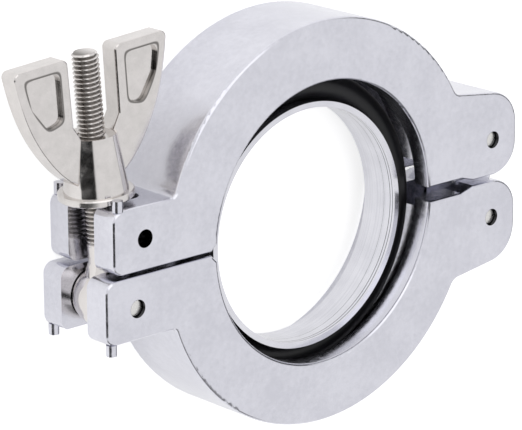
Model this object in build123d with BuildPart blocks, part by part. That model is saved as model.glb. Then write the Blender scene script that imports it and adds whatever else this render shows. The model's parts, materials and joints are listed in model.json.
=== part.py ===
from build123d import *
import os
from math import cos, radians, sin, tan

os.makedirs("parts", exist_ok=True)

# Clamp ring, lying flat, bore axis along Z and mid-plane at z = 0.
thickness = 22.5
outer_radius = 47.5
opening_radius = 33.1
edge_round = 1.0

# V groove that pulls a pair of tapered flanges together.
groove_floor_radius = 38.2
groove_floor_width = 9.6
flank_angle = 15.0
groove_depth = groove_floor_radius - opening_radius
groove_mouth_width = groove_floor_width + 2 * groove_depth * tan(radians(flank_angle))

# Parting faces: nearly closed at the fork, a wedge-shaped gap at the hinge.
fork_face_y = 0.4
hinge_face_y = 1.8
lug_face_y = 0.7
hinge_face_end_x = 44.0
lug_face_start_x = 48.0
mouth_chamfer = 1.6

# Fork that straddles the swing bolt.
fork_height = 15.0
fork_root_x = -40.0
upper_fork_tip_x = -62.6
lower_fork_extra = 2.3
fork_corner_radius = 2.6
fork_root_radius = 2.0
fork_slot_width = 8.9
fork_slot_end_x = -48.4
fork_slot_corner = 3.0
fork_hole_from_tip = 8.6
fork_hole_y = 7.7
pin_radius = 2.0
pin_press_clearance = 0.02
pin_running_clearance = 0.05
pin_recess = 1.0

# Seat for the washer, open towards the tip, and the two studs that keep it in.
seat_depth = 0.3
stud_radius = 1.2
stud_height = 2.2
stud_from_tip = 2.1
stud_z = 9.95

# Hinge lugs and the double-pinned link between them.
hinge_pin_x = 53.9
hinge_pin_y = 9.6
lug_end_x = 62.2
lug_height = 22.9
lug_end_height = 20.0
lug_outer_radius = 8.5
lug_inner_radius = 7.5
lug_root_x = 41.5
lug_root_radius = 3.0
link_width = 10.0
link_end_radius = 6.3
link_side_clearance = 0.2
pocket_clearance = 0.5
pocket_reach_x = 36.4
pocket_reach_y = 5.0
link_edge_round = 0.7

# Swing bolt, M6, hung in the lower fork and leaning out a little.
bolt_radius = 3.0
bolt_lean = 4.5
bolt_length = 56.0
bolt_end_chamfer = 0.6
bolt_collar_radius = 3.9
bolt_collar_end = 8.6
eye_radius = 6.75
eye_face_radius = 5.8
eye_width = 8.3

# Washer and wing nut, run back a little from the seat.
nut_backoff = 1.0
washer_radius = 8.45
washer_thickness = 1.6
washer_bore_radius = 3.25
washer_edge = 0.3
nut_bore_radius = bolt_radius + 0.06
hub_base_radius = 7.2
hub_top_radius = 5.5
hub_height = 12.7
wing_thickness = 5.0
wing_span = 21.0
wing_height = 31.3
wing_inner_x = 6.5
wing_edge_round = 0.6
pad_depth = 0.9
pad_corner_radius = 1.9

# Centering ring and its O-ring, hanging on the groove floor.
ring_sag = 2.0
ring_radius = 29.0
ring_bore_radius = 27.9
ring_length = 10.4
ring_centre_z = -0.35
o_ring_section = 3.45
o_ring_seat = 0.5
o_ring_radius = ring_radius - o_ring_seat + o_ring_section
o_ring_fit = 0.02
step_depth = 0.25
step_z = 1.6

half_thickness = thickness / 2
lower_fork_tip_x = upper_fork_tip_x - lower_fork_extra
upper_hole_x = upper_fork_tip_x + fork_hole_from_tip
pivot_x = lower_fork_tip_x + fork_hole_from_tip
pivot_y = -fork_hole_y
seat_y = fork_height - seat_depth
washer_start = seat_y - pivot_y + nut_backoff
nut_start = washer_start + washer_thickness
seat_radius = stud_z - stud_radius - 0.1
pin_length = thickness - 2 * pin_recess

# Planes of the swing bolt: across it seen from the front, and square to its axis.
lean = radians(bolt_lean)
bolt_front = Plane(origin=(pivot_x, pivot_y, 0), x_dir=(cos(lean), sin(lean), 0), z_dir=(0, 0, 1))
bolt_cross = Plane(origin=(pivot_x, pivot_y, 0), x_dir=(0, 0, 1), z_dir=(-sin(lean), cos(lean), 0))


def casting(fork_tip_x, hole_x):
    """Half of the clamp with its fork, its groove and its hinge lug, on the +Y side."""
    with BuildPart() as half:
        with BuildSketch(Plane.XY.offset(-half_thickness)):
            Circle(outer_radius)
            with BuildLine():
                Polyline(
                    (fork_root_x, 0), (fork_tip_x, 0), (fork_tip_x, fork_height),
                    (fork_root_x, fork_height), close=True,
                )
            make_face()
            with BuildLine():
                Polyline(
                    (opening_radius, 0), (lug_end_x, 0), (lug_end_x, lug_end_height),
                    (opening_radius, lug_height + 1.0), close=True,
                )
            make_face()
            Circle(opening_radius, mode=Mode.SUBTRACT)
            with BuildLine():
                Polyline(
                    (2 * fork_tip_x, fork_face_y), (0, fork_face_y), (0, hinge_face_y),
                    (hinge_face_end_x, hinge_face_y), (lug_face_start_x, lug_face_y),
                    (2 * lug_end_x, lug_face_y), (2 * lug_end_x, -2 * outer_radius),
                    (2 * fork_tip_x, -2 * outer_radius), close=True,
                )
            make_face(mode=Mode.SUBTRACT)
            ends = vertices()
            fillet(ends.sort_by_distance((lug_end_x, lug_end_height))[0], lug_outer_radius)
            fillet(vertices().sort_by_distance((lug_end_x, lug_face_y))[0], lug_inner_radius)
            fillet(vertices().sort_by_distance((fork_tip_x, fork_height))[0], fork_corner_radius)
            fillet(vertices().sort_by_distance((fork_tip_x, fork_face_y))[0], fork_corner_radius)
            chamfer(vertices().sort_by_distance((-opening_radius, fork_face_y))[0], mouth_chamfer)
            roots = vertices().filter_by_position(Axis.Y, fork_height - 0.01, fork_height + 0.01)
            fillet(roots.sort_by(Axis.X)[-1], fork_root_radius)
            fillet(vertices().sort_by_distance((lug_root_x, lug_height))[0], lug_root_radius)
        extrude(amount=thickness)
        rims = edges().filter_by_position(Axis.Z, -half_thickness, -half_thickness)
        rims += edges().filter_by_position(Axis.Z, half_thickness, half_thickness)
        fillet(rims, edge_round)
        # Groove with tapered flanks.
        with BuildSketch(Plane.XZ):
            with BuildLine():
                Polyline(
                    (opening_radius - 3, -groove_mouth_width / 2), (opening_radius, -groove_mouth_width / 2),
                    (groove_floor_radius, -groove_floor_width / 2),
                    (groove_floor_radius, groove_floor_width / 2),
                    (opening_radius, groove_mouth_width / 2), (opening_radius - 3, groove_mouth_width / 2),
                    close=True,
                )
            make_face()
        revolve(axis=Axis.Z, mode=Mode.SUBTRACT)
        # Fork slot, washer seat, studs and cross hole.
        with BuildSketch(Plane.XZ):
            with Locations(((2 * fork_tip_x + fork_slot_end_x) / 2, 0)):
                Rectangle(abs(2 * fork_tip_x - fork_slot_end_x), fork_slot_width)
            fillet(vertices().group_by(Axis.X)[-1], fork_slot_corner)
        extrude(amount=2 * fork_height, both=True, mode=Mode.SUBTRACT)
        with BuildSketch(Plane.XZ.offset(-fork_height)):
            with Locations((pivot_x, 0)):
                Circle(seat_radius)
            with Locations((pivot_x - lug_end_x / 2, 0)):
                Rectangle(lug_end_x, 2 * seat_radius)
        extrude(amount=seat_depth, mode=Mode.SUBTRACT)
        with BuildSketch(Plane.XZ.offset(-seat_y)):
            with Locations((fork_tip_x + stud_from_tip, stud_z), (fork_tip_x + stud_from_tip, -stud_z)):
                Circle(stud_radius)
        extrude(amount=-(seat_depth + stud_height))
        with BuildSketch():
            with Locations((hole_x, fork_hole_y), (hinge_pin_x, hinge_pin_y)):
                Circle(pin_radius + pin_press_clearance)
        extrude(amount=thickness, both=True, mode=Mode.SUBTRACT)
        # Pocket for the link, open to the parting face and to the outside.
        with BuildSketch():
            with BuildLine():
                Polyline(
                    (pocket_reach_x, -1), (pocket_reach_x, pocket_reach_y),
                    (hinge_pin_x - link_end_radius - pocket_clearance, hinge_pin_y),
                    (hinge_pin_x - link_end_radius - pocket_clearance,
                     hinge_pin_y + link_end_radius + pocket_clearance),
                    (2 * lug_end_x, hinge_pin_y + link_end_radius + pocket_clearance),
                    (2 * lug_end_x, -1), close=True,
                )
            make_face()
        extrude(amount=link_width / 2 + link_side_clearance, both=True, mode=Mode.SUBTRACT)
    return half.part


with BuildPart() as upper_half:
    add(casting(upper_fork_tip_x, upper_hole_x))
upper_half.part.label = "upper_half"
export_step(upper_half.part, "parts/upper_half.step")

with BuildPart() as lower_half:
    add(casting(lower_fork_tip_x, pivot_x).mirror(Plane.XZ))
lower_half.part.label = "lower_half"
export_step(lower_half.part, "parts/lower_half.step")

# Link with two bored round ends.
with BuildPart() as hinge_link:
    with BuildSketch(Plane.XY.offset(-link_width / 2)):
        with Locations((hinge_pin_x, 0)):
            SlotCenterToCenter(2 * hinge_pin_y, 2 * link_end_radius, rotation=90)
    extrude(amount=link_width)
    rims = edges().filter_by_position(Axis.Z, -link_width / 2, -link_width / 2)
    rims += edges().filter_by_position(Axis.Z, link_width / 2, link_width / 2)
    fillet(rims, link_edge_round)
    with BuildSketch():
        with Locations((hinge_pin_x, hinge_pin_y), (hinge_pin_x, -hinge_pin_y)):
            Circle(pin_radius + pin_running_clearance)
    extrude(amount=link_width, both=True, mode=Mode.SUBTRACT)
hinge_link.part.label = "hinge_link"
export_step(hinge_link.part, "parts/hinge_link.step")

# Three straight pins, their ends a little below the faces.
with BuildPart() as upper_hinge_pin:
    with BuildSketch(Plane.XY.offset(-pin_length / 2)):
        with Locations((hinge_pin_x, hinge_pin_y)):
            Circle(pin_radius)
    extrude(amount=pin_length)
    chamfer(edges().filter_by(GeomType.CIRCLE), 0.25)
upper_hinge_pin.part.label = "upper_hinge_pin"
export_step(upper_hinge_pin.part, "parts/upper_hinge_pin.step")

with BuildPart() as lower_hinge_pin:
    with BuildSketch(Plane.XY.offset(-pin_length / 2)):
        with Locations((hinge_pin_x, -hinge_pin_y)):
            Circle(pin_radius)
    extrude(amount=pin_length)
    chamfer(edges().filter_by(GeomType.CIRCLE), 0.25)
lower_hinge_pin.part.label = "lower_hinge_pin"
export_step(lower_hinge_pin.part, "parts/lower_hinge_pin.step")

with BuildPart() as bolt_pivot_pin:
    with BuildSketch(Plane.XY.offset(-pin_length / 2)):
        with Locations((pivot_x, pivot_y)):
            Circle(pin_radius)
    extrude(amount=pin_length)
    chamfer(edges().filter_by(GeomType.CIRCLE), 0.25)
bolt_pivot_pin.part.label = "bolt_pivot_pin"
export_step(bolt_pivot_pin.part, "parts/bolt_pivot_pin.step")

# Swing bolt: crowned eye, collar and shank in one piece.
with BuildPart() as swing_bolt:
    with BuildSketch(Plane.XZ):
        with BuildLine():
            Line((0, -eye_width / 2), (eye_face_radius, -eye_width / 2))
            ThreePointArc(
                (eye_face_radius, -eye_width / 2), (eye_radius, 0), (eye_face_radius, eye_width / 2)
            )
            Line((eye_face_radius, eye_width / 2), (0, eye_width / 2))
            Line((0, eye_width / 2), (0, -eye_width / 2))
        make_face()
    revolve(axis=Axis.Z)
    with BuildSketch(Plane.XY):
        with BuildLine():
            Polyline(
                (0, 0), (bolt_collar_radius, 0), (bolt_collar_radius, eye_radius - 0.6),
                (bolt_radius, bolt_collar_end), (bolt_radius, bolt_length - bolt_end_chamfer),
                (bolt_radius - bolt_end_chamfer, bolt_length), (0, bolt_length), close=True,
            )
        make_face()
    revolve(axis=Axis.Y)
    with BuildSketch():
        Circle(pin_radius + pin_running_clearance)
    extrude(amount=eye_width, both=True, mode=Mode.SUBTRACT)
swing_bolt.part = bolt_front.location * swing_bolt.part
swing_bolt.part.label = "swing_bolt"
export_step(swing_bolt.part, "parts/swing_bolt.step")

with BuildPart() as washer:
    with BuildSketch(bolt_cross.offset(washer_start)):
        Circle(washer_radius)
        Circle(washer_bore_radius, mode=Mode.SUBTRACT)
    extrude(amount=washer_thickness)
    chamfer(edges().filter_by(GeomType.CIRCLE).group_by(SortBy.RADIUS)[-1], washer_edge)
washer.part.label = "washer"
export_step(washer.part, "parts/washer.step")

# Wing nut: tapered hub, two flared wings with sunk thumb pads on both faces.
with BuildPart() as wing_nut:
    with BuildSketch(bolt_front.offset(-wing_thickness / 2)):
        with BuildLine():
            Spline(
                (4.0, nut_start + 1.4), (9.4, nut_start + 5.2), (13.8, nut_start + 10.6),
                (17.2, nut_start + 16.8), (19.6, nut_start + 24.0), (wing_span, nut_start + wing_height),
            )
            Polyline(
                (wing_span, nut_start + wing_height), (wing_inner_x, nut_start + wing_height),
                (wing_inner_x - 0.2, nut_start + 16.0), (4.0, nut_start + 12.2), (4.0, nut_start + 1.4),
            )
        make_face()
        fillet(vertices().sort_by(Axis.Y)[-2:], 1.4)
        mirror(about=Plane.YZ)
    extrude(amount=wing_thickness)
    broad = edges().filter_by(lambda edge: abs(abs(edge.center().Z) - wing_thickness / 2) < 0.001)
    fillet(broad.filter_by(lambda edge: edge.length > 1.0), wing_edge_round)
    for side in (-1, 1):
        with BuildSketch(bolt_front.offset(side * wing_thickness / 2)):
            with BuildLine():
                Polyline(
                    (9.0, nut_start + 29.0), (18.2, nut_start + 29.0), (17.0, nut_start + 22.6),
                    (13.0, nut_start + 17.0), (9.0, nut_start + 18.0), close=True,
                )
            make_face()
            fillet(vertices(), pad_corner_radius)
            mirror(about=Plane.YZ)
        extrude(amount=-side * pad_depth, mode=Mode.SUBTRACT)
    with BuildSketch(bolt_cross.offset(nut_start)):
        Circle(hub_base_radius)
    with BuildSketch(bolt_cross.offset(nut_start + hub_height)):
        Circle(hub_top_radius)
    loft()
    with BuildSketch(bolt_cross):
        Circle(nut_bore_radius)
    extrude(amount=2 * bolt_length, mode=Mode.SUBTRACT)
wing_nut.part.label = "wing_nut"
export_step(wing_nut.part, "parts/wing_nut.step")

# Centering ring: thin turned sleeve with a step in its bore and an outer seat for the O-ring.
with BuildPart() as centering_ring:
    with BuildSketch(Plane.XZ.offset(ring_sag)):
        with BuildLine():
            Polyline(
                (ring_bore_radius, ring_centre_z - ring_length / 2),
                (ring_radius, ring_centre_z - ring_length / 2),
                (ring_radius, ring_centre_z + ring_length / 2),
                (ring_bore_radius - step_depth, ring_centre_z + ring_length / 2),
                (ring_bore_radius - step_depth, ring_centre_z + step_z),
                (ring_bore_radius, ring_centre_z + step_z), close=True,
            )
        make_face()
        with Locations((o_ring_radius, ring_centre_z)):
            Circle(o_ring_section + o_ring_fit, mode=Mode.SUBTRACT)
    revolve(axis=Axis((0, -ring_sag, 0), (0, 0, 1)))
centering_ring.part.label = "centering_ring"
export_step(centering_ring.part, "parts/centering_ring.step")

with BuildPart() as o_ring:
    with BuildSketch(Plane.XZ.offset(ring_sag)):
        with Locations((o_ring_radius, ring_centre_z)):
            Circle(o_ring_section)
    revolve(axis=Axis((0, -ring_sag, 0), (0, 0, 1)))
o_ring.part.label = "o_ring"
export_step(o_ring.part, "parts/o_ring.step")
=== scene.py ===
# %% [markdown]
# # A hinged flange clamp
#
# The clamp is two cast aluminium halves joined by a double-pinned link at one side and drawn
# together by a swing bolt with a wing nut at the other. Inside it hangs a centering ring with its
# rubber O-ring. The solids come from the CAD frame; here the bolt gets its thread and every piece
# its finish, and the clamp is lit like a product on a white table.

# %% Load the frame
import json
import math

import bpy
import numpy as np
from mathutils import Matrix, Vector


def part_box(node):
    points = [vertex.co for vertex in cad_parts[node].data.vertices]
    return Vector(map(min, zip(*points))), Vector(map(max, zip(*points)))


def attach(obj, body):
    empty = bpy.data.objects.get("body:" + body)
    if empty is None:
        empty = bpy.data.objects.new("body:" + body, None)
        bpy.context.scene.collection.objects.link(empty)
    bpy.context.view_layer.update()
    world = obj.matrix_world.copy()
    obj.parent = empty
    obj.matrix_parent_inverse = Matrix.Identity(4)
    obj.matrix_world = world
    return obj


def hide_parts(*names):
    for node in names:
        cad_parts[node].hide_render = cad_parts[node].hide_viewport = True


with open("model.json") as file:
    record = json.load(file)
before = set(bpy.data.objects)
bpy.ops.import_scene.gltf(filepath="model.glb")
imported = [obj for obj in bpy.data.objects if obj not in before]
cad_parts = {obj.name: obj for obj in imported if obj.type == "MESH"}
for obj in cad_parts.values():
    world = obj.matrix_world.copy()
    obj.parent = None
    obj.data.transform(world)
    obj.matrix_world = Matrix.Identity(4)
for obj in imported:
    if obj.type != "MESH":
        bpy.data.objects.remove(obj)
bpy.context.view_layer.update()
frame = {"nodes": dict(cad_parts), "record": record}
MM = 0.001
print("nodes:", sorted(frame["nodes"]))

# %% [markdown]
# ## Places taken from the frame
#
# The bolt hangs from a pin in the lower fork and leans out a little. The frame's joints hold the
# pin's place and the bolt's direction, so the thread is cut along the true axis of the bolt. The
# boxes of two pieces give the height of the table and the front of the centering ring.

# %% Bolt axis, table height and ring front read from the frame
joints = {joint["name"]: joint for joint in frame["record"]["behaviour"]["joints"]}
eye_centre = np.array(joints["bolt_swing"]["pos_m"])
bolt_axis = np.array(joints["nut_travel"]["axis"])
bolt_side = np.cross(bolt_axis, [0.0, 0.0, 1.0])
table_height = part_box("lower_half")[0][2]
ring_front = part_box("centering_ring")[1][2]
print("bolt axis", bolt_axis.round(4), "eye at (mm)", (eye_centre / MM).round(2))
print("table at (mm)", round(table_height / MM, 2), "ring front at", round(ring_front / MM, 2))


# %% [markdown]
# ## A small language for shader maths
#
# Finishes on metal are sums and products of noise, so the node trees are written as expressions.
# A `Sock` wraps one output socket; `+`, `-` and `*` add the Math nodes behind it.

# %% Sockets that can be added, multiplied and subtracted
class Sock:
    """One output socket; an expression on values adds its Math nodes."""

    def __init__(self, tree, socket):
        self.tree = tree
        self.socket = socket

    def _math(self, operation, first, second):
        return Finish.node_in(
            self.tree, "ShaderNodeMath", {"operation": operation}, {0: first, 1: second}
        )

    def __add__(self, other):
        return self._math("ADD", self, other)

    __radd__ = __add__

    def __mul__(self, other):
        return self._math("MULTIPLY", self, other)

    __rmul__ = __mul__

    def __sub__(self, other):
        return self._math("SUBTRACT", self, other)

    def __rsub__(self, other):
        return self._math("SUBTRACT", other, self)


# %% One finish: a material whose nodes come from one method
class Finish:
    """A Principled material; `node` adds any node, `set` fills the shader's sockets."""

    def __init__(self, name, **values):
        self.material = bpy.data.materials.new(name)
        self.material.use_nodes = True
        self.tree = self.material.node_tree
        self.shader = self.tree.nodes["Principled BSDF"]
        self.set(**values)

    def set(self, **values):
        """Sets or links the shader's sockets; a word's underscores stand for spaces."""
        for word, value in values.items():
            self.plug(self.tree, value, self.shader.inputs[word.replace("_", " ")])

    @staticmethod
    def plug(tree, value, socket):
        """Links a Sock to a socket, or writes a plain value into it."""
        if isinstance(value, Sock):
            tree.links.new(value.socket, socket)
        elif hasattr(socket.default_value, "__len__"):
            size = len(socket.default_value)
            socket.default_value = tuple(value) + (1.0,) * (size - len(value))
        else:
            socket.default_value = value

    @staticmethod
    def node_in(tree, kind, settings=None, inputs=None, output=0):
        """Adds a node, sets it, fills its inputs, and returns one output as a Sock."""
        node = tree.nodes.new(kind)
        for word, value in (settings or {}).items():
            setattr(node, word, value)
        for key, value in (inputs or {}).items():
            Finish.plug(tree, value, node.inputs[key])
        return Sock(tree, node.outputs[output])

    def node(self, kind, settings=None, inputs=None, output=0):
        """`node_in` for this material's own tree."""
        return self.node_in(self.tree, kind, settings, inputs, output)

    def place(self):
        """Object coordinates, which are the frame's own metres."""
        return self.node("ShaderNodeTexCoord", output="Object")

    def parts(self):
        """The place split into x, y and z."""
        split = self.node("ShaderNodeSeparateXYZ", inputs={0: self.place()})
        node = split.socket.node
        return [Sock(self.tree, node.outputs[axis]) for axis in range(3)]

    def noise(self, size, stretch=(1.0, 1.0, 1.0), detail=3.0, seed=(0.0, 0.0, 0.0)):
        """Noise from 0 to 1 with features `size` metres across, stretched per axis."""
        scale = tuple(1.0 / (size * each) for each in stretch)
        where = self.node(
            "ShaderNodeMapping", inputs={"Vector": self.place(), "Scale": scale, "Location": seed}
        )
        return self.node(
            "ShaderNodeTexNoise", inputs={"Vector": where, "Scale": 1.0, "Detail": detail}
        )

    def clamped(self, value, low, high, to_low=0.0, to_high=1.0):
        """Carries a value from one range to another and holds it there."""
        return self.node(
            "ShaderNodeMapRange",
            {"clamp": True},
            {0: value, 1: low, 2: high, 3: to_low, 4: to_high},
        )

    def tint(self, mask, dark, light):
        """A colour between two, by a mask from 0 to 1."""
        mixed = self.tree.nodes.new("ShaderNodeMix")
        mixed.data_type = "RGBA"
        self.plug(self.tree, mask, mixed.inputs[0])
        self.plug(self.tree, dark, mixed.inputs[6])
        self.plug(self.tree, light, mixed.inputs[7])
        return Sock(self.tree, mixed.outputs[2])

    def relief(self, height, depth):
        """Bump: a height of 1 stands `depth` metres proud."""
        self.set(
            Normal=self.node(
                "ShaderNodeBump", inputs={"Height": height, "Strength": 1.0, "Distance": depth}
            )
        )


def dress(node, finish):
    """Puts one finish on every slot of a CAD node."""
    shown = frame["nodes"][node]
    if not shown.material_slots:
        shown.data.materials.append(finish.material)
    for slot in shown.material_slots:
        slot.material = finish.material
    print("dressed", node, "with", finish.material.name)


# %% [markdown]
# ## Cast aluminium, tumbled bright
#
# The halves and the link are castings that are tumbled and lightly polished. The skin is even and
# satin: a faint cloud of tone about a centimetre across, a mottle of a millimetre or so, and a
# fine grain that only breaks up the reflections.
#
# The cross holes are drilled, and their walls are painted dark as the shade inside them. Three
# hold a pin, and their places come from the pins' boxes. The fourth, in the upper fork, is empty.
# It mirrors the hole for the bolt's pin, less the step by which the lower fork reaches further
# out.

# %% Painted shade on the walls of the drilled holes
hole_radius = 2.02 * MM
hole_margin = 0.05 * MM
fork_step = 2.3 * MM
pin_places = [
    (Vector(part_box(pin)[0]) + Vector(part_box(pin)[1])) / 2
    for pin in ("upper_hinge_pin", "lower_hinge_pin", "bolt_pivot_pin")
]
empty_hole = Vector((eye_centre[0] + fork_step, -eye_centre[1], 0.0))


def hole_shade_mask(finish):
    """1 inside the four cross holes, where their shade is painted, and 0 outside, by distance
    from each hole's axis.
    """
    x, y, _ = finish.parts()
    inside = None
    for centre in [*pin_places, empty_hole]:
        across, along = x - centre.x, y - centre.y
        here = finish.node(
            "ShaderNodeMath",
            {"operation": "LESS_THAN"},
            {0: across * across + along * along, 1: (hole_radius + hole_margin) ** 2},
        )
        inside = here if inside is None else inside + here
    return inside


# %% The casting finish
def casting_finish(name, seed):
    """Bright aluminium: base tone from two noises, painted shade in the cross holes, a mottled
    gloss, and two depths of relief.
    """
    finish = Finish(name, Metallic=1.0)
    cloud = finish.noise(11.0 * MM, seed=seed)
    mottle = finish.noise(1.3 * MM, detail=4.0, seed=seed)
    grain = finish.noise(0.4 * MM, detail=2.0, seed=seed)
    tone = finish.clamped(cloud * 0.45 + mottle * 0.35 + grain * 0.2, 0.40, 0.60)
    painted_hole_shade = hole_shade_mask(finish)
    skin = finish.tint(tone, (0.655, 0.655, 0.71), (0.735, 0.735, 0.79))
    # Painted shade: the walls of the cross holes are coloured near black.
    finish.set(Base_Color=finish.tint(painted_hole_shade, skin, (0.05, 0.05, 0.055)))
    finish.set(Roughness=finish.clamped(mottle * 0.6 + grain * 0.4, 0.35, 0.65, 0.13, 0.25))
    finish.relief(mottle * 0.75 + grain * 0.25, 0.016 * MM)
    return finish


casting = casting_finish("tumbled_aluminium", (0.0, 0.0, 0.0))
for node in ("upper_half", "lower_half"):
    dress(node, casting)
dress("hinge_link", casting_finish("link_aluminium", (3.0, 1.0, 2.0)))

# %% [markdown]
# ## Pins
#
# The three pins are ground bar, pressed in until their ends sit a little below the face. Facing
# the ends leaves fine circles round each pin's own centre.

# %% The pin finish
def pin_finish(node):
    """Ground steel: fine rings by distance from the pin's axis, a little noise in the gloss."""
    low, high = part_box(node)
    centre = (Vector(low) + Vector(high)) / 2
    finish = Finish(node + "_steel", Metallic=1.0)
    x, y, _ = finish.parts()
    across, along = x - centre.x, y - centre.y
    radius = finish.node(
        "ShaderNodeMath", {"operation": "SQRT"}, {0: across * across + along * along}
    )
    rings = finish.node(
        "ShaderNodeMath", {"operation": "SINE"}, {0: radius * (2 * math.pi / (0.16 * MM))}
    )
    speckle = finish.noise(0.3 * MM)
    finish.set(Base_Color=finish.tint(speckle, (0.66, 0.65, 0.63), (0.86, 0.85, 0.83)))
    finish.set(Roughness=finish.clamped(speckle, 0.3, 0.7, 0.18, 0.34))
    finish.relief(rings * 0.5 + 0.5, 0.003 * MM)
    dress(node, finish)


for node in ("upper_hinge_pin", "lower_hinge_pin", "bolt_pivot_pin"):
    pin_finish(node)

# %% [markdown]
# ## Nickel-plated bolt, washer and wing nut
#
# These are warmer and much glossier than the castings, so they show the room as light and dark
# stripes. The plating is not perfectly flat: a slow ripple bends the stripes a little.

# %% The plated finish
def plated_finish(name, ripple_size, ripple_depth, roughness):
    """Plated metal: warm tone, low roughness with faint smears, and a slow ripple."""
    finish = Finish(name, Metallic=1.0)
    smear = finish.noise(2.6 * MM)
    ripple = finish.noise(ripple_size, detail=1.0)
    fine = finish.noise(0.35 * MM, detail=2.0)
    tone = finish.clamped(smear * 0.7 + fine * 0.3, 0.35, 0.65)
    finish.set(Base_Color=finish.tint(tone, (0.655, 0.63, 0.61), (0.73, 0.70, 0.68)))
    finish.set(Roughness=finish.clamped(smear, 0.3, 0.7, roughness, roughness + 0.08))
    finish.relief(ripple + fine * 0.04, ripple_depth)
    return finish


nut_finish = plated_finish("plated_wing_nut", 6.0 * MM, 0.05 * MM, 0.09)
bolt_finish = plated_finish("plated_bolt", 5.0 * MM, 0.02 * MM, 0.1)
dress("washer", plated_finish("plated_washer", 7.0 * MM, 0.03 * MM, 0.1))

# %% [markdown]
# ## The sunk thumb pads
#
# A fine dark line is painted round the rim of each pad, as the shade on its rounded edge. The rim
# is a five-sided shape with soft corners. How far a place is outside such a shape is the largest
# of its distances from the five sides, and a smooth largest value rounds the corners.
#
# The corners are given across and along the bolt, in millimetres, from the nut's foot. The foot
# is the nut's lowest point along the bolt's axis.

# %% A painted shade line round each pad
nut_points = np.array([corner.co for corner in frame["nodes"]["wing_nut"].data.vertices])
nut_foot = float(((nut_points - eye_centre) @ bolt_axis).min())
pad_corners = np.array([(9.0, 29.0), (18.2, 29.0), (17.0, 22.6), (13.0, 17.0), (9.0, 18.0)]) * MM
pad_corners[:, 1] += nut_foot
corner_softness = 2.4 * MM
line_offset = 0.2 * MM
line_core = 0.1 * MM
line_reach = 0.34 * MM


def pad_rim_shade(finish):
    """1 on a narrow band of painted shade along the pads' rims, 0 elsewhere, alike on both wings.
    """
    x, y, _ = finish.parts()
    east, north = x - float(eye_centre[0]), y - float(eye_centre[1])
    across = finish.node(
        "ShaderNodeMath",
        {"operation": "ABSOLUTE"},
        {0: east * float(bolt_side[0]) + north * float(bolt_side[1])},
    )
    along = east * float(bolt_axis[0]) + north * float(bolt_axis[1])
    outside = None
    for first, second in zip(pad_corners, np.roll(pad_corners, -1, axis=0)):
        step = second - first
        out_x, out_y = np.array([-step[1], step[0]]) / np.hypot(*step)
        gap = across * float(out_x) + along * float(out_y) - float(first @ (out_x, out_y))
        outside = gap if outside is None else finish.node(
            "ShaderNodeMath",
            {"operation": "SMOOTH_MAX"},
            {0: outside, 1: gap, 2: corner_softness},
        )
    away = finish.node("ShaderNodeMath", {"operation": "ABSOLUTE"}, {0: outside - line_offset})
    return finish.clamped(away, line_core, line_reach, 1.0, 0.0)


plating = Sock(nut_finish.tree, nut_finish.shader.inputs["Base Color"].links[0].from_socket)
# Painted shade: the pads' rims are coloured dark, as the shade on their rounded edges.
nut_finish.set(Base_Color=nut_finish.tint(pad_rim_shade(nut_finish), plating, (0.2, 0.19, 0.18)))
dress("wing_nut", nut_finish)

# %% [markdown]
# ## The threaded swing bolt
#
# The CAD bolt is a plain rod, because a helix of this size would cost the solid thousands of
# faces. The shown bolt is one grid: going along it is the second parameter, going round it the
# first, and the radius falls and rises with the phase of the helix. A coarse M6 thread climbs
# one millimetre in each turn.

# %% A tube of quads from rows of points
def lathe_grid(rows):
    """Joins rows of equal length into a tube; returns its points and quads.

    Each row is one ring round the tube, and its last point joins its first again.
    """
    count_rows, count_columns, _ = rows.shape
    index = np.arange(count_rows * count_columns).reshape(count_rows, count_columns)
    next_column = np.roll(index, -1, axis=1)
    quads = np.stack(
        [index[:-1], next_column[:-1], next_column[1:], index[1:]], axis=-1
    ).reshape(-1, 4)
    return rows.reshape(-1, 3), quads


def make_piece(name, groups, finish, sharp_angle=32.0):
    """One mesh from several (points, faces) groups, smooth but for edges past an angle."""
    points, faces, start = [], [], 0
    for part_points, part_faces in groups:
        points.append(part_points)
        faces += [[int(corner) + start for corner in face] for face in part_faces]
        start += len(part_points)
    mesh = bpy.data.meshes.new(name)
    mesh.from_pydata(np.concatenate(points).tolist(), [], faces)
    mesh.validate()
    mesh.shade_smooth()
    mesh.set_sharp_from_angle(angle=math.radians(sharp_angle))
    mesh.materials.append(finish.material)
    piece = bpy.data.objects.new(name, mesh)
    bpy.context.scene.collection.objects.link(piece)
    print(name, "has", len(mesh.polygons), "faces")
    return piece


# %% Thread profile along and round the bolt
bolt_radius = 3.0 * MM
bolt_end = 56.0 * MM
thread_start = 12.0 * MM
pitch = 1.0 * MM
thread_depth = 0.58 * MM
run_in_turns = 1.5
rows_in_turn = 12
# The V before it is held between 0 and 1: its value at the middle, and its fall in one pitch.
valley_peak = 1.25
valley_fall = 2.9
end_chamfer = 0.6 * MM
collar_radius = 3.9 * MM
collar_foot = 6.1 * MM
collar_head = 8.6 * MM


def on_bolt(radius, angle, height):
    """Radius and angle about the bolt's axis, height along it, from the eye's centre.

    The angle runs by the right-hand rule about the axis, which keeps the faces outward.
    """
    across = radius * np.cos(angle)
    deep = -radius * np.sin(angle)
    return (
        eye_centre
        + across[..., None] * bolt_side
        + deep[..., None] * np.array([0.0, 0.0, 1.0])
        + height[..., None] * bolt_axis
    )


def thread_radius(angle, height):
    """Crest radius less a V with a flat floor, whose phase is height over pitch less turns round.

    Its depth swells in over the first turn and a half.
    """
    phase = np.mod(height / pitch - angle / (2 * np.pi), 1.0)
    valley = np.clip(valley_peak - valley_fall * np.abs(phase - 0.5), 0.0, 1.0)
    run_in = np.clip((height - thread_start) / (run_in_turns * pitch), 0.0, 1.0)
    return bolt_radius - thread_depth * valley * run_in


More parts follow.
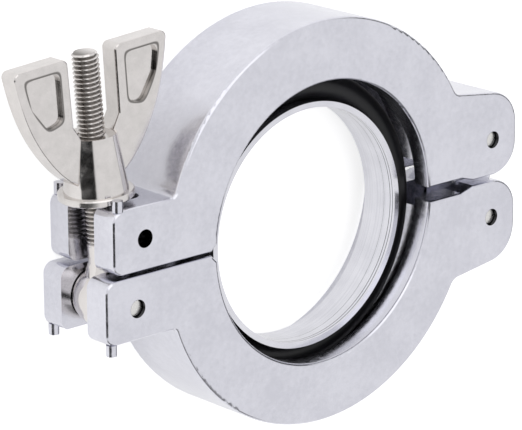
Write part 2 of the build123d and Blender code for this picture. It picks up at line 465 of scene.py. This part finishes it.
columns = 64
heights = np.concatenate([
    np.array([4.2, 5.2, 6.1, 7.0, 7.8, 8.6, 10.0, 11.5]) * MM,
    np.arange(thread_start, bolt_end, pitch / rows_in_turn),
    [bolt_end],
])
angle, height = np.meshgrid(np.linspace(0, 2 * np.pi, columns, endpoint=False), heights)
radius = thread_radius(angle, height)
collar = collar_radius - (collar_radius - bolt_radius) * np.clip(
    (height - collar_foot) / (collar_head - collar_foot), 0.0, 1.0
)
radius = np.where(height < collar_head, collar, radius)
end_cone = bolt_radius - end_chamfer + (bolt_end - height)
radius = np.minimum(radius, end_cone)
shank_points, shank_quads = lathe_grid(on_bolt(radius, angle, height))
valley_shade_depth = np.clip((bolt_radius - thread_radius(angle, height)) / thread_depth, 0.0, 1.0)
last = len(shank_points)
shank_faces = [*shank_quads, np.arange(columns)[::-1], np.arange(last - columns, last)]


# %% [markdown]
# ## The crowned eye
#
# The eye is a disc with a barrel-shaped rim, bored for the pin. Its section is a closed loop: up
# over the crown, in along the upper flat, down the chamfered bore and out along the lower flat.
# Turning that loop about the pin's axis closes it into a ring.

# %% The eye as a closed loop turned about the pin
eye_radius = 6.75 * MM
eye_face = 5.8 * MM
eye_half = 4.15 * MM
eye_bore = 2.05 * MM
bore_chamfer = 0.3 * MM
crown_height = np.linspace(-1.0, 1.0, 17)
crown_out = eye_face + (eye_radius - eye_face) * (1 - crown_height**2)
loop_radius = np.concatenate([
    crown_out,
    [eye_bore + bore_chamfer, eye_bore, eye_bore, eye_bore + bore_chamfer],
])
loop_height = np.concatenate([
    crown_height * eye_half,
    [eye_half, eye_half - bore_chamfer, bore_chamfer - eye_half, -eye_half],
])
turn = np.linspace(0, 2 * np.pi, 96, endpoint=False)
eye_rows = np.stack([
    eye_centre[0] + loop_radius[:, None] * np.cos(turn),
    eye_centre[1] + loop_radius[:, None] * np.sin(turn),
    eye_centre[2] + loop_height[:, None] + 0 * turn,
], axis=-1)
eye_rows = np.concatenate([eye_rows, eye_rows[:1]])
eye_points, eye_quads = lathe_grid(eye_rows)

# %% One threaded bolt stands for the CAD bolt
swing_bolt = make_piece(
    "threaded_swing_bolt",
    [(shank_points, shank_faces), (eye_points, eye_quads)],
    bolt_finish,
)
depth = swing_bolt.data.attributes.new("valley", "FLOAT", "POINT")
depth.data.foreach_set(
    "value", np.concatenate([valley_shade_depth.ravel(), np.zeros(len(eye_points))]).astype(np.float32)
)
# Painted shade: the thread's valleys are coloured dark, and they are also made rougher.
valley = bolt_finish.node("ShaderNodeAttribute", {"attribute_name": "valley"}, output="Fac")
bolt_finish.set(
    Base_Color=bolt_finish.tint(
        bolt_finish.clamped(valley, 0.15, 0.9), (0.73, 0.70, 0.68), (0.24, 0.225, 0.21)
    ),
    Roughness=bolt_finish.clamped(valley, 0.1, 0.9, 0.12, 0.4),
)
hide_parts("swing_bolt")
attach(swing_bolt, "bolt")

# %% [markdown]
# ## Centering ring
#
# The sleeve is turned on a lathe, so its tool marks run round it: noise stretched far along the
# circumference and very short along the axis. The marks hardly colour the metal but they spread
# its highlights. Three fine grooves below the front, where the tool changed its cut, go all the
# way round; they are dented in and painted dark as their shade.

# %% The turned finish
line_half_width = 0.09 * MM
ring_finish = Finish("turned_ring", Metallic=1.0)
_, _, ring_z = ring_finish.parts()
marks = ring_finish.noise(0.12 * MM, stretch=(400.0, 400.0, 1.0), detail=2.0)
cloud = ring_finish.noise(6.0 * MM)
groove_shade_lines = None
for below_front in (0.7, 1.5, 3.6):
    line = ring_finish.node(
        "ShaderNodeMath",
        {"operation": "COMPARE"},
        {0: ring_z, 1: ring_front - below_front * MM, 2: line_half_width},
    )
    groove_shade_lines = line if groove_shade_lines is None else groove_shade_lines + line
turned = ring_finish.tint(
    ring_finish.clamped(cloud * 0.4 + marks * 0.6, 0.35, 0.65),
    (0.68, 0.68, 0.725), (0.82, 0.82, 0.86),
)
ring_finish.set(
    # Painted shade: the three tool grooves are coloured dark, and the relief also dents them in.
    Base_Color=ring_finish.tint(groove_shade_lines, turned, (0.16, 0.16, 0.18)),
    Roughness=ring_finish.clamped(marks * 0.6 + cloud * 0.4, 0.3, 0.7, 0.1, 0.24),
)
ring_finish.relief(marks - groove_shade_lines * 0.5, 0.01 * MM)
dress("centering_ring", ring_finish)

# %% [markdown]
# ## O-ring
#
# Moulded black rubber with a faint sheen, a slow bloom in its tone and a trace of moulding grain.

# %% The rubber finish
rubber = Finish("seal_rubber", Metallic=0.0, IOR=1.42)
grain = rubber.noise(0.5 * MM)
bloom = rubber.noise(8.0 * MM)
rubber.set(
    Base_Color=rubber.tint(
        rubber.clamped(bloom, 0.4, 0.75), (0.003, 0.003, 0.004), (0.009, 0.009, 0.011)
    ),
    Roughness=rubber.clamped(grain * 0.5 + bloom * 0.5, 0.3, 0.7, 0.38, 0.5),
)
rubber.relief(grain, 0.01 * MM)
dress("o_ring", rubber)

# %% [markdown]
# ## Table and light
#
# A white table lies under the clamp. It adds a little light of its own where it is seen or
# mirrored, so it reads as paper white while the shadow stays.

# %% The table
def flat_square(name, size, height):
    """A square of four corners at one height."""
    mesh = bpy.data.meshes.new(name)
    round_it = [(-size, -size), (size, -size), (size, size), (-size, size)]
    mesh.from_pydata([(x, y, height) for x, y in round_it], [], [(0, 1, 2, 3)])
    square = bpy.data.objects.new(name, mesh)
    bpy.context.scene.collection.objects.link(square)
    return square


glow_seen = 0.75
glow_mirrored = 0.52
table = flat_square("table", 6.0, table_height)
table_material = bpy.data.materials.new("white_table")
table_material.use_nodes = True
tree = table_material.node_tree
tree.nodes.clear()
direct = Finish.node_in(tree, "ShaderNodeLightPath", output="Is Camera Ray")
mirrored = Sock(tree, direct.socket.node.outputs["Is Glossy Ray"])
added_light = direct * glow_seen + mirrored * glow_mirrored
paper = Finish.node_in(tree, "ShaderNodeBsdfDiffuse", inputs={"Color": (0.62, 0.62, 0.62)})
glow = Finish.node_in(
    tree, "ShaderNodeEmission", inputs={"Color": (1.0, 1.0, 1.0), "Strength": added_light}
)
both = Finish.node_in(tree, "ShaderNodeAddShader", inputs={0: paper, 1: glow})
out = tree.nodes.new("ShaderNodeOutputMaterial")
tree.links.new(both.socket, out.inputs["Surface"])
table.data.materials.append(table_material)

# %% [markdown]
# ## The room
#
# Bright metal shows only what stands round it, and in an even white room it would look flat. So
# the pale room has three upright dark panels, which draw the dark stripe on the nut's hub and the
# fine dark lines along the rounded edges. Each is kept narrow or low enough that no broad face
# mirrors it in the main view. The camera itself sees the room as plain white.

# %% The room with its dark panels
world = bpy.data.worlds.new("pale_room")
bpy.context.scene.world = world
world.use_nodes = True
room_tree = world.node_tree
camera_ray = Finish.node_in(room_tree, "ShaderNodeLightPath", output="Is Camera Ray")
looking = Finish.node_in(room_tree, "ShaderNodeTexCoord", output="Generated")


def soft_step(value, edge, soft=0.035):
    """0 below an edge, 1 above it, with a soft crossing between."""
    return Finish.node_in(
        room_tree,
        "ShaderNodeMapRange",
        {"clamp": True, "interpolation_type": "SMOOTHSTEP"},
        {0: value, 1: edge - soft, 2: edge + soft},
    )


def towards(direction):
    """The cosine between the viewed direction and another."""
    return Finish.node_in(
        room_tree,
        "ShaderNodeVectorMath",
        {"operation": "DOT_PRODUCT"},
        {0: looking, 1: Vector(direction)},
        output="Value",
    )


def curtain(side, half_width, top):
    """1 on an upright panel of the room and 0 off it.

    The side is where it stands, as x and y. Half width and top are cosines: how far a direction
    may lean sideways and upwards and still meet the panel.
    """
    side = Vector((*side, 0.0)).normalized()
    sideways = Finish.node_in(
        room_tree,
        "ShaderNodeMath",
        {"operation": "ABSOLUTE"},
        {0: towards((-side.y, side.x, 0.0))},
    )
    narrow = 1.0 - soft_step(sideways, half_width)
    low = 1.0 - soft_step(towards((0.0, 0.0, 1.0)), top)
    return soft_step(towards(side), 0.1) * narrow * low


room_light = 0.93
for side, half_width, top, taken in (
    ((-1.0, -0.3), 0.19, 0.80, 0.915),
    ((-0.2, -1.0), 0.50, 0.42, 0.67),
    ((1.0, 0.12), 0.50, 0.34, 0.83),
):
    room_light = room_light - curtain(side, half_width, top) * taken
background = room_tree.nodes["Background"]
strength = camera_ray + (1.0 - camera_ray) * room_light
Finish.plug(room_tree, strength, background.inputs["Strength"])
Finish.plug(room_tree, (0.985, 0.985, 1.0), background.inputs["Color"])


# %% One soft square lamp that faces the clamp's centre
lamp_place = Vector((-0.25, 0.75, 0.55))
lamp = bpy.data.lights.new("key", "AREA")
lamp.size = 0.9
lamp.energy = 1.3
key = bpy.data.objects.new("key", lamp)
key.location = lamp_place
key.rotation_mode = "QUATERNION"
key.rotation_quaternion = (-lamp_place).to_track_quat("-Z", "Y")
bpy.context.scene.collection.objects.link(key)
print("one lamp and a pale room")

# %% [markdown]
# ## Camera
#
# A long lens looks down at the clamp from its bolt side. The matrix holds the camera's right, up
# and backward directions as columns, and its place in metres as the last one.

# %% The camera
camera_place = (-0.448399, 0.198919, 0.483911)
camera = bpy.data.cameras.new("product_camera")
camera.sensor_width = 36.0
camera.lens = 206.89655
camera.clip_end = 20.0
viewer = bpy.data.objects.new("product_camera", camera)
right = Vector((0.7409, -0.0019, 0.6716)).normalized()
back = Vector((-0.6424, 0.2894, 0.7096)).normalized()
up = back.cross(right).normalized()
viewer.matrix_world = Matrix((
    (right.x, up.x, back.x, camera_place[0]),
    (right.y, up.y, back.y, camera_place[1]),
    (right.z, up.z, back.z, camera_place[2]),
    (0.0, 0.0, 0.0, 1.0),
))
bpy.context.scene.collection.objects.link(viewer)
bpy.context.scene.camera = viewer
bpy.context.scene.view_settings.view_transform = "Standard"
